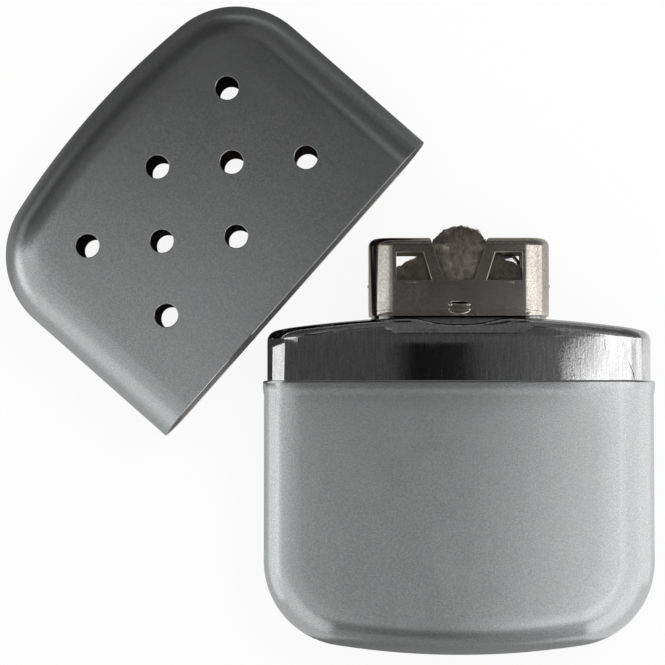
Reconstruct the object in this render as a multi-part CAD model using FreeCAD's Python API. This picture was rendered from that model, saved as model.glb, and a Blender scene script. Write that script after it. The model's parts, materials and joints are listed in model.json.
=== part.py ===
import FreeCAD, Part

import math
import os

from FreeCAD import Vector

# A catalytic hand warmer lying on its back, in millimetres.  The origin is the centre of the case's
# flat back.  +Y runs up the case to the burner, +X to the right and +Z out of the front face.  The
# lid is off and lies on the same surface, turned, beside the shoulder that it closes over.

# Case and lid: two drawn shells of one outline
case_width = 68.0
case_thickness = 14.0
case_height = 47.4          # closed end to rim
lid_height = 47.0           # mouth to closed end
corner_radius = 15.0        # corners of the closed ends, seen from the front
bow_radius = 137.0          # gentle bow across the closed ends
edge_round = 6.8            # round-over along the front and back edges
case_wall = 0.5
case_rim_round = 0.4        # outer edge of the case's rim
lid_wall = 0.45

# Lid vent holes: rows of three, two and three through both faces
vent_diameter = 4.0
vent_pitch = 9.05           # between rows, and half the pitch within a row
vent_first_row = 13.2       # mouth to the first row
vent_rows = (3, 2, 3)

# Where the lid lies, and the fit it closes with
lid_turn = 48.6             # degrees from closed, anticlockwise from the front
lid_rest_left = 28.4        # middle of the mouth, left of the case's axis
lid_rest_above_rim = 15.95
lid_slip_clearance = 0.3    # lid's inside to the shoulder
lid_rim_gap = 0.15          # lid's mouth to the case's rim when closed

# Shoulder: the polished upper half of the tank
shoulder_wall = 0.45
shoulder_height = 11.05     # rim to the crown of the shoulder, before the dip
shoulder_crown_radius = 215.0
shoulder_edge_round = 1.9
skirt_depth = 5.0           # how far it reaches down inside the case
dip_depth = 1.17            # saddle under the burner, below the crown
dip_radius = 30.0
dip_blend_radius = 10.0
scoop_foot = 7.65           # sloping hollow in front and back: rim to its foot
scoop_depth = 0.9           # at the level of the crown
scoop_half_flat = 9.0       # its floor is flat out to here, and then curves up
scoop_end_radius = 23.2

# Solder that seals the shoulder's skirt into the case
solder_height = 3.0
solder_below_rim = 1.0
solder_fit = 0.01

# Neck: the oval collar that carries the burner
neck_height = 16.06         # rim to the collar's lip
neck_wall = 0.4
neck_inside = 2.0           # how far it reaches in under the dip
neck_fit = 0.02             # collar to the hole in the shoulder

# Burner
burner_width = 31.3
burner_depth = 10.6
burner_corner_radius = 4.4
burner_wall = 0.4
burner_foot = 11.1          # rim to the lower edge of the cage
burner_top = 24.6           # rim to the top of the cage
burner_top_round = 1.4
burner_slip = 0.08          # cage to the collar
burner_seat_gap = 0.1       # floor plate to the collar's lip

notch_bottom = 17.25        # rim to the foot of the V-notch
notch_half_bottom = 2.5
notch_half_top = 5.0
window_bottom = 17.25
window_top = 22.0
window_outer = 10.8         # axis to the upright side
window_inner_bottom = 4.75
window_inner_top = 6.2

floor_thickness = 0.4
floor_fit = 0.05
floor_slot_width = 1.6
floor_slot_depth = 5.4
floor_slot_pitch = 3.6
floor_slot_count = 7
tab_width = 2.0
tab_proud = 0.15
tab_clearance = 0.2

catch_slot_half = 1.9       # slot over the lanced catch
catch_slot_level = 13.1     # rim to the slot's lower edge
catch_slot_height = 0.4
catch_half_width = 2.5
catch_proud = 0.9

# Catalyst: glass wool on the floor plate, with a tuft through the notch
wool_clearance = 0.3
wool_shoulder_half = 11.5   # half width of the wool's shoulders, seen through the windows
wool_shoulder_level = 19.4
wool_neck_half = 6.4        # half width of the tuft's root behind the cage's slanted bars
wool_neck_level = 22.2
tuft_top = 27.0
tuft_depth = 6.4

# Absorbent wadding and the felt in the neck
wadding_clearance = 0.3
wadding_top = 4.5           # above the rim
wadding_gap = 0.1           # between two layers
wadding_layers = ("wadding_back", "wadding_core", "wadding_front")
felt_gap = 0.2              # wadding to felt
felt_top = 10.5             # above the rim
felt_clearance = 0.3

rim = case_height / 2
mid = case_thickness / 2
reach = 5.0                 # how far a cutter runs past what it cuts
least_flat = 0.1            # kept between two rounded edges, so that a rounding never meets itself

X, Y, Z = Vector(1, 0, 0), Vector(0, 1, 0), Vector(0, 0, 1)


def at(x, y, z=0.0):
    """A point whose y is counted from the rim and whose z is counted from the middle plane."""
    return Vector(x, rim + y, mid + z)


def closed_wire(*edges):
    return Part.Wire([edge.toShape() for edge in edges])


def slab(wire, depth):
    """Extrude a wire drawn on the middle plane to both sides of it."""
    solid = Part.Face(wire).extrude(Z * depth)
    solid.translate(Z * -depth / 2)
    return solid


def polygon_slab(points, depth):
    corners = [at(x, y) for x, y in points]
    return slab(Part.makePolygon(corners + corners[:1]), depth)


def bar(width, thickness, radius, bottom, top):
    """A bar of rounded-rectangle section that runs along Y, from bottom to top above the rim."""
    corner = at(-width / 2, bottom, -thickness / 2)
    box = Part.makeBox(width, top - bottom, thickness, corner)
    along = [edge for edge in box.Edges if abs(edge.tangentAt(0).y) > 0.99]
    return box.makeFillet(min(radius, (min(width, thickness) - least_flat) / 2), along)


def round_top(solid, level, radius):
    """Round the edge that runs all round a bar's top, which is whatever edge lies above a level."""
    half_width = solid.BoundBox.XLength / 2
    loop = []
    for edge in solid.Edges:
        middle = edge.CenterOfMass
        seam = abs(middle.z - mid) < least_flat and abs(middle.x) < half_width - least_flat
        if edge.BoundBox.YMin > rim + level and not seam:
            loop.append(edge)
    return solid.makeFillet(radius, loop)


def cup(width, thickness, height, corner, bow, edge_radius, extra=0.0):
    """A solid cup with its mouth at y = 0 and its closed end at +height, round the z = 0 plane."""
    half = width / 2
    bow_centre = Vector(0, height - bow, 0)
    corner_x = half - corner
    corner_y = bow_centre.y + math.sqrt((bow - corner) ** 2 - corner_x ** 2)
    corner_centre = Vector(corner_x, corner_y, 0)
    outward = (corner_centre - bow_centre).normalize()
    halfway = (outward + X).normalize()
    meets_bow = bow_centre + outward * bow
    bulge = corner_centre + halfway * corner

    def left(point):
        return Vector(-point.x, point.y, 0)

    mouth, straight_end = Vector(half, -extra, 0), Vector(half, corner_y, 0)
    wire = closed_wire(
        Part.LineSegment(mouth, straight_end),
        Part.Arc(straight_end, bulge, meets_bow),
        Part.Arc(meets_bow, Vector(0, height, 0), left(meets_bow)),
        Part.Arc(left(meets_bow), left(bulge), left(straight_end)),
        Part.LineSegment(left(straight_end), left(mouth)),
        Part.LineSegment(left(mouth), mouth),
    )
    solid = slab(wire, thickness)
    outline = []
    for edge in solid.Edges:
        across = edge.BoundBox.ZLength > thickness / 2
        if not across and edge.BoundBox.YMax > -extra + least_flat:
            outline.append(edge)
    return solid.makeFillet(min(edge_radius, (thickness - least_flat) / 2), outline)


def drawn_shell(height, wall):
    """A drawn cup of the common outline, with an even wall."""
    outer = cup(case_width, case_thickness, height, corner_radius, bow_radius, edge_round)
    inner = cup(
        case_width - 2 * wall,
        case_thickness - 2 * wall,
        height - wall,
        corner_radius - wall,
        bow_radius - wall,
        edge_round - wall,
        extra=reach,
    )
    return outer.cut(inner)


def stand_closed_end_down(shape, mouth_above_rim):
    """Turn a cup over, so that its closed end is the case's, and put its mouth at a level."""
    shape.rotate(Vector(0, 0, 0), Z, 180)
    shape.translate(at(0, mouth_above_rim))
    return shape


# Lid


def lid_pole():
    """The point about which lid_turn carries the lid between where it lies and closed."""
    closed = at(0, lid_rim_gap)
    lying = at(-lid_rest_left, lid_rest_above_rim)
    step = lying - closed
    half_turn = math.radians(lid_turn) / 2
    sideways = Vector(-step.y, step.x, 0) * (1 / (2 * math.tan(half_turn)))
    return closed + step * 0.5 + sideways


def vent_places():
    for row, count in enumerate(vent_rows):
        for column in range(count):
            across = (2 * column - (count - 1)) * vent_pitch
            yield across, vent_first_row + row * vent_pitch


def lid_shell():
    shell = drawn_shell(lid_height, lid_wall)
    drill = case_thickness + 2 * reach
    for across, along in vent_places():
        start = Vector(across, along, -drill / 2)
        shell = shell.cut(Part.makeCylinder(vent_diameter / 2, drill, start, Z))
    shell.translate(at(0, lid_rim_gap))
    shell.rotate(lid_pole(), Z, lid_turn)
    return shell


# Case, shoulder and the solder between them

shoulder_width = case_width - 2 * (lid_wall + lid_slip_clearance)
shoulder_thickness = case_thickness - 2 * (lid_wall + lid_slip_clearance)
shoulder_corner = edge_round - lid_wall - lid_slip_clearance


def case_shell():
    shell = stand_closed_end_down(drawn_shell(case_height, case_wall), 0)
    on_rim = [edge for edge in shell.Edges if edge.BoundBox.YMin > rim - least_flat]
    outer_loop = [edge for edge in on_rim if is_outside(edge, case_width, case_thickness)]
    return shell.makeFillet(case_rim_round, outer_loop)


def is_outside(edge, width, thickness):
    """Whether an edge of a mouth lies on the outer skin, not on the inner one."""
    middle = edge.CenterOfMass
    near_side = abs(middle.x) > width / 2 - least_flat
    near_face = abs(middle.z - mid) > thickness / 2 - least_flat
    return near_side or near_face


def crown_block(inset, bottom):
    """Everything under the shoulder's crown: a wide bow that dips into a saddle in the middle."""
    crown = shoulder_crown_radius - inset
    blend = dip_blend_radius - inset
    dip = dip_radius + inset
    crown_centre = Vector(0, shoulder_height - shoulder_crown_radius, 0)
    dip_centre = Vector(0, shoulder_height - dip_depth + dip_radius, 0)
    far, near, apart = crown - blend, dip + blend, dip_centre.y - crown_centre.y
    blend_y = crown_centre.y + (far ** 2 - near ** 2 + apart ** 2) / (2 * apart)
    blend_x = math.sqrt(near ** 2 - (blend_y - dip_centre.y) ** 2)
    blend_centre = Vector(blend_x, blend_y, 0)

    def along(start, through, distance):
        return start + (through - start).normalize() * distance

    half = shoulder_width / 2 + reach
    side_end = Vector(half, crown_centre.y + math.sqrt(crown ** 2 - half ** 2), 0)
    crown_end = along(crown_centre, blend_centre, crown)
    dip_end = along(dip_centre, blend_centre, dip)
    crown_middle = along(crown_centre, (side_end + crown_end) * 0.5, crown)
    blend_middle = along(blend_centre, (crown_end + dip_end) * 0.5, blend)
    right_arcs = [(side_end, crown_middle, crown_end), (crown_end, blend_middle, dip_end)]

    def place(point, side=1):
        return at(side * point.x, point.y)

    edges = [Part.LineSegment(at(half, bottom), place(side_end))]
    for first, middle, last in right_arcs:
        edges.append(Part.Arc(place(first), place(middle), place(last)))
    saddle = Vector(0, dip_centre.y - dip, 0)
    edges.append(Part.Arc(place(dip_end), place(saddle), place(dip_end, -1)))
    for first, middle, last in reversed(right_arcs):
        edges.append(Part.Arc(place(last, -1), place(middle, -1), place(first, -1)))
    edges.append(Part.LineSegment(place(side_end, -1), at(-half, bottom)))
    edges.append(Part.LineSegment(at(-half, bottom), at(half, bottom)))
    return slab(closed_wire(*edges), shoulder_thickness + 2 * reach)


def scoop(face, growth):
    """The hollow that slopes back from the front (face 1) or back (face -1) of the shoulder to the neck."""
    half, radius = scoop_half_flat, scoop_end_radius
    end = radius + growth
    turn = math.acos(1 - reach / end)

    def on_end(side, angle):
        return Vector(side * (half + end * math.sin(angle)), 0, radius - end * math.cos(angle))

    wire = closed_wire(
        Part.LineSegment(on_end(-1, 0), on_end(1, 0)),
        Part.Arc(on_end(1, 0), on_end(1, turn / 2), on_end(1, turn)),
        Part.LineSegment(on_end(1, turn), on_end(-1, turn)),
        Part.Arc(on_end(-1, turn), on_end(-1, turn / 2), on_end(-1, 0)),
    )
    cutter = Part.Face(wire).extrude(Y * 4 * reach)
    cutter.translate(Y * -2 * reach)
    tilt = math.atan(scoop_depth / (shoulder_height - scoop_foot))
    cutter.rotate(Vector(0, 0, 0), X, -math.degrees(tilt))
    cutter.translate(Z * shoulder_thickness / 2)
    if face < 0:
        cutter.rotate(Vector(0, 0, 0), Y, 180)
    cutter.translate(at(0, scoop_foot))
    return cutter


def shoulder_solid(inset, bottom):
    """The shoulder's outer form, or the form of its inside where inset is the wall."""
    section = bar(
        shoulder_width - 2 * inset,
        shoulder_thickness - 2 * inset,
        shoulder_corner - inset,
        bottom,
        shoulder_height + reach,
    )
    solid = section.common(crown_block(inset, bottom - reach))
    solid = round_top(solid, shoulder_height / 2, shoulder_edge_round - inset)
    for face in (1, -1):
        solid = solid.cut(scoop(face, inset))
    return solid


neck_width = burner_width - 2 * (burner_wall + burner_slip)
neck_depth = burner_depth - 2 * (burner_wall + burner_slip)
neck_corner = burner_corner_radius - burner_wall - burner_slip
neck_bottom = shoulder_height - dip_depth - neck_inside


def tank_shoulder():
    outer = shoulder_solid(0, -skirt_depth)
    inner = shoulder_solid(shoulder_wall, -skirt_depth - reach)
    hole = bar(
        neck_width + 2 * neck_fit,
        neck_depth + 2 * neck_fit,
        neck_corner + neck_fit,
        neck_bottom - reach,
        neck_height,
    )
    return outer.cut(inner).cut(hole)


def seam_solder():
    top = -solder_below_rim
    bottom = top - solder_height
    ring = bar(
        case_width - 2 * (case_wall + solder_fit),
        case_thickness - 2 * (case_wall + solder_fit),
        edge_round - case_wall - solder_fit,
        bottom,
        top,
    )
    core = bar(
        shoulder_width + 2 * solder_fit,
        shoulder_thickness + 2 * solder_fit,
        shoulder_corner + solder_fit,
        bottom - reach,
        top + reach,
    )
    return ring.cut(core)


def neck_collar():
    outer = bar(neck_width, neck_depth, neck_corner, neck_bottom, neck_height)
    bore = bar(
        neck_width - 2 * neck_wall,
        neck_depth - 2 * neck_wall,
        neck_corner - neck_wall,
        neck_bottom - reach,
        neck_height + reach,
    )
    return outer.cut(bore)


# Absorbent filling


def wadding():
    """The tank's filling, cut into layers that lie one over another from back to front."""
    bottom_inset = case_wall + wadding_clearance
    side_inset = shoulder_wall + wadding_clearance
    thickness = shoulder_thickness - 2 * side_inset
    whole = cup(
        shoulder_width - 2 * side_inset,
        thickness,
        case_height + wadding_top - bottom_inset,
        corner_radius - bottom_inset,
        bow_radius - bottom_inset,
        shoulder_corner - side_inset,
    )
    whole = stand_closed_end_down(whole, wadding_top)
    count = len(wadding_layers)
    layer = (thickness - (count - 1) * wadding_gap) / count
    pads = {}
    for index, name in enumerate(wadding_layers):
        start = Vector(-case_width, -case_height, mid - thickness / 2 + index * (layer + wadding_gap))
        slice_box = Part.makeBox(2 * case_width, 3 * case_height, layer, start)
        pads[name] = whole.common(slice_box)
    return pads


def neck_felt():
    inset = neck_wall + felt_clearance
    return bar(
        neck_width - 2 * inset,
        neck_depth - 2 * inset,
        neck_corner - inset,
        wadding_top + felt_gap,
        felt_top,
    )


# Burner

floor_level = neck_height + burner_seat_gap


def notch():
    """The V that opens the cage's front, back and top."""
    slope = (notch_half_top - notch_half_bottom) / (burner_top - notch_bottom)
    above = burner_top + reach
    half_above = notch_half_top + slope * reach
    return polygon_slab(
        [
            (-notch_half_bottom, notch_bottom),
            (notch_half_bottom, notch_bottom),
            (half_above, above),
            (-half_above, above),
        ],
        burner_depth + 2 * reach,
    )


def window(side):
    return polygon_slab(
        [
            (side * window_inner_bottom, window_bottom),
            (side * window_outer, window_bottom),
            (side * window_outer, window_top),
            (side * window_inner_top, window_top),
        ],
        burner_depth + 2 * reach,
    )


def tab_slot(side):
    """The slot in one end of the cage that a tab of the floor plate pokes through."""
    width = tab_width + 2 * tab_clearance
    height = floor_thickness + 2 * tab_clearance
    start = at(side * burner_width / 2 - reach / 2, floor_level - tab_clearance, -width / 2)
    return Part.makeBox(reach, height, width, start)


def half_dome(face, inset):
    """The lower half of a bulge on the cage's front (face 1) or back (face -1)."""
    radius = (catch_half_width ** 2 + catch_proud ** 2) / (2 * catch_proud)
    depth = burner_depth / 2 + catch_proud - radius
    ball = Part.makeSphere(radius - inset, at(0, catch_slot_level, face * depth))
    keep = Part.makeBox(
        burner_width,
        catch_slot_level - burner_foot,
        burner_depth,
        at(-burner_width / 2, burner_foot, 0 if face > 0 else -burner_depth),
    )
    return ball.common(keep)


def burner_cage():
    middle = (burner_foot + burner_top) / 2
    outer = bar(burner_width, burner_depth, burner_corner_radius, burner_foot, burner_top)
    outer = round_top(outer, middle, burner_top_round)
    inner = bar(
        burner_width - 2 * burner_wall,
        burner_depth - 2 * burner_wall,
        burner_corner_radius - burner_wall,
        burner_foot - reach,
        burner_top - burner_wall,
    )
    inner = round_top(inner, middle, burner_top_round - burner_wall)
    for face in (1, -1):
        outer = outer.fuse(half_dome(face, 0))
        inner = inner.fuse(half_dome(face, burner_wall))
    cage = outer.cut(inner).cut(notch())
    for side in (1, -1):
        cage = cage.cut(window(side)).cut(tab_slot(side))
    catch_slot = Part.makeBox(
        2 * catch_slot_half,
        catch_slot_height,
        burner_depth + 2 * reach,
        at(-catch_slot_half, catch_slot_level, -burner_depth / 2 - reach),
    )
    return cage.cut(catch_slot).removeSplitter()


def burner_floor():
    inset = burner_wall + floor_fit
    plate = bar(
        burner_width - 2 * inset,
        burner_depth - 2 * inset,
        burner_corner_radius - inset,
        floor_level,
        floor_level + floor_thickness,
    )
    span = burner_width + 2 * tab_proud
    tabs = Part.makeBox(span, floor_thickness, tab_width, at(-span / 2, floor_level, -tab_width / 2))
    plate = plate.fuse(tabs)
    for index in range(floor_slot_count):
        middle = (index - (floor_slot_count - 1) / 2) * floor_slot_pitch
        slot = bar(
            floor_slot_width,
            floor_slot_depth,
            floor_slot_width / 2,
            floor_level - reach,
            floor_level + reach,
        )
        slot.translate(X * middle)
        plate = plate.cut(slot)
    return plate.removeSplitter()


def catalyst_wool():
    """Wool packed under the cage's roof, narrowing to a tuft that stands out of the notch."""
    inset = burner_wall + wool_clearance
    inside_half = burner_width / 2 - inset
    bottom = floor_level + floor_thickness + wool_clearance
    ceiling = burner_top - inset
    throat = notch_half_top - wool_clearance
    right = [
        (inside_half, bottom),
        (inside_half, (bottom + wool_shoulder_level) / 2),
        (wool_shoulder_half, wool_shoulder_level),
        (wool_neck_half, wool_neck_level),
        (throat, ceiling),
        (throat, burner_top),
    ]
    left = [(-x, y) for x, y in reversed(right)]

    def run(points):
        return [Part.LineSegment(at(*a), at(*b)) for a, b in zip(points, points[1:])]

    tuft_arc = Part.Arc(at(*right[-1]), at(0, tuft_top), at(*left[0]))
    wire = closed_wire(*run(right), tuft_arc, *run(left + right[:1]))
    room = bar(
        burner_width - 2 * inset,
        burner_depth - 2 * inset,
        burner_corner_radius - inset,
        bottom,
        ceiling,
    )
    tuft = bar(2 * throat, tuft_depth, tuft_depth / 2, bottom, tuft_top)
    return slab(wire, burner_depth).common(room.fuse(tuft)).removeSplitter()


nodes = {
    "case_shell": case_shell(),
    "tank_shoulder": tank_shoulder(),
    "seam_solder": seam_solder(),
    "neck_collar": neck_collar(),
    "neck_felt": neck_felt(),
    "burner_cage": burner_cage(),
    "burner_floor": burner_floor(),
    "catalyst_wool": catalyst_wool(),
    "lid_shell": lid_shell(),
}
nodes.update(wadding())

os.makedirs("parts", exist_ok=True)
for node, shape in nodes.items():
    shape.exportStep(f"parts/{node}.step")
    box = shape.BoundBox
    print(
        f"{node:15s} valid {shape.isValid()} solids {len(shape.Solids)} volume {shape.Volume:9.1f}"
        f"  x {box.XMin:7.2f} {box.XMax:7.2f}  y {box.YMin:7.2f} {box.YMax:7.2f}"
        f"  z {box.ZMin:6.2f} {box.ZMax:6.2f}"
    )
pole = lid_pole()
print(f"lid pole x {pole.x:.4f} y {pole.y:.4f}, turn to closed {-lid_turn} degrees")
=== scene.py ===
# %% [markdown]
# # A catalytic hand warmer
#
# The warmer burns lighter fluid without a flame. Fuel soaks the cotton inside the case, vapour rises
# through the neck, and the glass wool in the burner head turns it into heat. The lid with the vents
# lies beside the case. The measured solids come first, as a fixed frame, and everything that is made
# later sits where they say. Blender's lengths are in metres, so a millimetre gets a name of its own.

import json
import math
import random

import bmesh
import bpy
from mathutils import Matrix, Vector, noise


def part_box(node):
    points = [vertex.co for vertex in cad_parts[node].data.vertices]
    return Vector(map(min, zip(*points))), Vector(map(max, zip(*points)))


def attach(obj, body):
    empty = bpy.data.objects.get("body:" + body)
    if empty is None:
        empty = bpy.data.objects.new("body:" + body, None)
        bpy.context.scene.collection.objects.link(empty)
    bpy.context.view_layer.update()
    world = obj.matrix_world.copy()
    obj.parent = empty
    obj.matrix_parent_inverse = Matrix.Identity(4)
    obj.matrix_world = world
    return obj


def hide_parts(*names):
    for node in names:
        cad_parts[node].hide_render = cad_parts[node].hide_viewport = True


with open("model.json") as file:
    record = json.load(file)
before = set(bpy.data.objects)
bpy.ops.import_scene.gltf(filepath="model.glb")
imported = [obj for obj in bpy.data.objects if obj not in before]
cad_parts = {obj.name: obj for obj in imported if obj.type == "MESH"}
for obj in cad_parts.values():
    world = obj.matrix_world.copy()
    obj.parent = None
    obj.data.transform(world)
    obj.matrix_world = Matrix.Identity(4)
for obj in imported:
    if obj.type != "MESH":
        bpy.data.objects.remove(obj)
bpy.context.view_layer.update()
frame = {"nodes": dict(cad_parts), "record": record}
mm = 0.001

# %% [markdown]
# ## The camera
#
# The view is taken from straight above with a long lens, about 45 cm up. A long lens keeps the sides
# upright, yet through each vent in the lid's front a little of the back shows beside its own vent. The
# camera looks a trifle to one side of the point below it, so its directions are worked out: a tracking
# constraint would roll the view.

# %% Camera
def add_object(name, data):
    """An object of a mesh, a curve, a lamp or a camera, linked to the scene."""
    made = bpy.data.objects.new(name, data)
    bpy.context.scene.collection.objects.link(made)
    return made


camera_foot = Vector((-14.2, 15.8, 0)) * mm
camera_height = 450 * mm
view_centre = Vector((-21.9, 32.1, 7.0)) * mm
view_width = 115.7 * mm

eye = camera_foot + Vector((0, 0, camera_height))
forward = (view_centre - eye).normalized()
right = forward.cross(Vector((0, 1, 0))).normalized()
up = right.cross(forward)

camera_data = bpy.data.cameras.new("camera")
camera_data.sensor_width = 36
camera_data.lens = camera_data.sensor_width * (view_centre - eye).length / view_width
camera_data.clip_start = 0.01
camera_data.clip_end = 10
camera = add_object("camera", camera_data)
camera.matrix_world = Matrix.Translation(eye) @ Matrix((right, up, -forward)).transposed().to_4x4()
bpy.context.scene.camera = camera
tilt = math.degrees(forward.angle(Vector((0, 0, -1))))
print(f"lens {camera_data.lens:.1f} mm, tilt {tilt:.2f} degrees")

# %% [markdown]
# ## Colours and nodes
#
# A colour is written as it would be read off a paint card, in sRGB hex, and one function turns it to
# the linear numbers that a renderer adds up. Another small function adds any node, with its settings
# and its links, so a material reads as a short list of what is done to the surface.

# %% Helpers for materials
def linear(hex_colour):
    """An sRGB hex colour as linear red, green, blue and alpha."""
    channels = [int(hex_colour[i:i + 2], 16) / 255 for i in (1, 3, 5)]
    straight = [c / 12.92 if c <= 0.04045 else ((c + 0.055) / 1.055) ** 2.4 for c in channels]
    return (*straight, 1.0)


def add_node(tree, kind, settings=None, values=None, links=None):
    """Add a shader node, set its properties and its input values, and link its inputs from sockets.

    A link may also name a whole node, which then gives the first of its outputs that is in use."""
    node = tree.nodes.new("ShaderNode" + kind)
    for name, value in (settings or {}).items():
        setattr(node, name, value)
    for name, value in (values or {}).items():
        node.inputs[name].default_value = value
    for name, source in (links or {}).items():
        if isinstance(source, bpy.types.Node):
            source = next(socket for socket in source.outputs if socket.enabled)
        tree.links.new(source, node.inputs[name])
    return node


def new_material(name):
    """An empty node material and its tree."""
    material = bpy.data.materials.new(name)
    material.use_nodes = True
    material.node_tree.nodes.clear()
    return material, material.node_tree


def features(size, detail=2.0, roughness=0.5):
    """Input values for a noise whose features are about one size, given in mm."""
    return {"Scale": 1 / (size * mm), "Detail": detail, "Roughness": roughness}


def stretch(low, high, start=0.3, end=0.7):
    """Input values for a range that turns start into low and end into high."""
    return {"From Min": start, "From Max": end, "To Min": low, "To Max": high}


print("mid grey is", [round(value, 3) for value in linear("#808080")[:3]])

# %% [markdown]
# ## The studio
#
# Polished and satin metal have no colour to speak of. They show what stands round them, so the studio
# is part of their looks. It is set up as it is for chrome: white all round, and black cards where the
# metal has to go dark. The background is white for the camera, and for reflections too.

# %% World: white to look at, softer as a light
daylight = 0.75


def seen_directly(tree):
    """1 for a ray from the camera, a mirror or glass, and 0 for one that only carries light."""
    ray = add_node(tree, "LightPath")
    mirrored = add_node(tree, "Math", {"operation": "MAXIMUM"},
                        links={0: ray.outputs["Is Camera Ray"], 1: ray.outputs["Is Glossy Ray"]})
    return add_node(tree, "Math", {"operation": "MAXIMUM"},
                    links={0: mirrored, 1: ray.outputs["Is Transmission Ray"]})


world = bpy.data.worlds.new("white_tent")
bpy.context.scene.world = world
world.use_nodes = True
sky = world.node_tree
sky.nodes.clear()
strength = add_node(sky, "MapRange", values={"To Min": daylight, "To Max": 1.0},
                    links={"Value": seen_directly(sky)})
light = add_node(sky, "Background", values={"Color": (1, 1, 1, 1)}, links={"Strength": strength})
add_node(sky, "OutputWorld", links={"Surface": light})
print("world", world.name, "gives", daylight, "of the white that it shows")

# %% Floor: pale, and it keeps the shadow
floor_drop = 0.05 * mm
floor_half = 2.5        # metres from its middle to each side
floor_shadow = 0.1      # share of the floor's brightness that a shadow can take away


def as_mesh(shape, name, material):
    """Turn a bmesh into a mesh with its material, and free the bmesh."""
    data = bpy.data.meshes.new(name)
    shape.to_mesh(data)
    shape.free()
    data.materials.append(material)
    return data


floor_finish, tree = new_material("floor_pale_paper")
glow_share = add_node(tree, "Math", {"operation": "MULTIPLY"}, {1: 1 - floor_shadow},
                      {0: seen_directly(tree)})
paper = add_node(tree, "BsdfDiffuse", values={"Color": linear("#f4f4f2")})
glow = add_node(tree, "Emission", values={"Color": (1, 1, 1, 1)})
both = add_node(tree, "MixShader", links={0: glow_share, 1: paper, 2: glow})
add_node(tree, "OutputMaterial", links={"Surface": both})

floor_mesh = bmesh.new()
bmesh.ops.create_grid(floor_mesh, x_segments=1, y_segments=1, size=floor_half,
                      matrix=Matrix.Translation((0, 0, -floor_drop)))
floor = add_object("floor", as_mesh(floor_mesh, "floor", floor_finish))
print("floor", 2 * floor_half, "m wide")

# %% Cards that only reflections see
def card(name, corners, across, along=((0, 1),)):
    """A flat card with four corners, given in mm, that shows in reflections and nowhere else.

    Its brightness is one curve over x times another over y, each a few (place in mm, level) pairs."""
    finish, tree = new_material(name)
    axes = add_node(tree, "SeparateXYZ", links={0: add_node(tree, "TexCoord").outputs["Object"]})
    brightness = []
    for axis, curve in ((0, across), (1, along)):
        start, end = curve[0][0], curve[-1][0]
        span = max(end - start, 1)      # mm, never 0, so that a curve may be a single pair
        share = add_node(tree, "MapRange", values=stretch(0, 1, start * mm, (start + span) * mm),
                         links={"Value": axes.outputs[axis]})
        ramp = add_node(tree, "ValToRGB", links={0: share})
        stops = ramp.color_ramp
        stops.interpolation = "EASE"
        stops.elements.remove(stops.elements[1])
        for index, (where, level) in enumerate(curve):
            at = (where - start) / span
            stop = stops.elements[0] if index == 0 else stops.elements.new(at)
            stop.position = at
            stop.color = (level, level, level, 1)
        brightness.append(ramp)
    product = add_node(tree, "Mix", {"data_type": "RGBA", "blend_type": "MULTIPLY"},
                       {"Factor": 1.0}, {"A": brightness[0], "B": brightness[1]})
    emission = add_node(tree, "Emission", links={"Color": product})
    add_node(tree, "OutputMaterial", links={"Surface": emission})
    shape = bmesh.new()
    points = [shape.verts.new(Vector(corner) * mm) for corner in corners]
    bmesh.ops.contextual_create(shape, geom=points)
    made = add_object(name, as_mesh(shape, name, finish))
    made.visible_camera = made.visible_diffuse = made.visible_shadow = False
    made.visible_transmission = made.visible_volume_scatter = False


def flat_at(height, *corners):
    """The corners of a card at one height, in mm."""
    return [(x, y, height) for x, y in corners]


def lying(left, right, near, far, height):
    """The corners of a square-cut card at one height, in mm."""
    return flat_at(height, (left, near), (right, near), (right, far), (left, far))


def standing(start, end, bottom, top):
    """The corners of an upright card over a line on the floor, in mm."""
    return ((*start, bottom), (*end, bottom), (*end, top), (*start, top))


# %% Large cards far off
ceiling, under_ceiling = 300, 299       # mm above the floor

card("card_ceiling", lying(-750, 750, -750, 750, ceiling),
     across=((-750, 0.62), (-300, 0.5), (-130, 0.42), (-60, 0.42), (-28, 0.3), (-8, 0.1), (14, 0.06),
             (32, 0.26), (48, 1.0), (85, 1.2), (130, 0.9), (200, 0.86), (700, 0.95)),
     along=((-500, 0.2), (-350, 0.28), (-210, 0.95), (5, 1.0), (45, 0.77), (75, 0.37),
            (110, 0.13), (190, 0.19), (230, 0.15), (270, 0.08)))
card("card_front", standing((-1200, -900), (1200, -900), -150, 750),
     across=((-1100, 0.6), (-600, 0.2), (500, 0.2), (1000, 1.0)))
card("card_back_left", standing((-1650, 200), (-200, 1500), -150, 900),
     across=((-1500, 0.3), (-1200, 0.22), (-900, 0.07), (-200, 0.05)))
card("card_table", lying(-900, 900, -900, 900, 0.02),
     across=((-120, 0.42), (-40, 0.4), (40, 0.75)),
     along=((-60, 0.35), (-28, 0.4), (-12, 1.0), (28, 1.0), (42, 0.6), (85, 0.2)))
card("card_burner_left", flat_at(under_ceiling, (-120, 46), (-120, 74), (-700, 104), (-700, 58)),
     across=((-700, 1.0), (-300, 1.05), (-120, 0.8)))
card("card_burner_right", flat_at(under_ceiling, (62, 46), (62, 74), (700, 104), (700, 58)),
     across=((62, 1.3), (250, 1.5), (400, 1.5), (700, 1.2)))
for name, corners, shine in (
        ("card_hollow", lying(-60, 70, 200, 520, under_ceiling), 0.09),
        ("card_back_right", standing((-200, 1400), (1500, 300), -150, 900), 0.1),
        ("card_behind", standing((-80, 300), (110, 300), 0, 50), 0.24),
        ("card_corner_right", standing((380, -120), (120, -380), 0, under_ceiling), 0.95),
        ("card_corner_left", standing((-380, -120), (-120, -380), 0, under_ceiling), 0.65),
        ("card_table_corner_right", lying(28, 240, -200, -6, 0.03), 0.7),
        ("card_table_corner_left", lying(-240, -28, -200, -6, 0.03), 0.5)):
    card(name, corners, across=((0, shine),))
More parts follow.
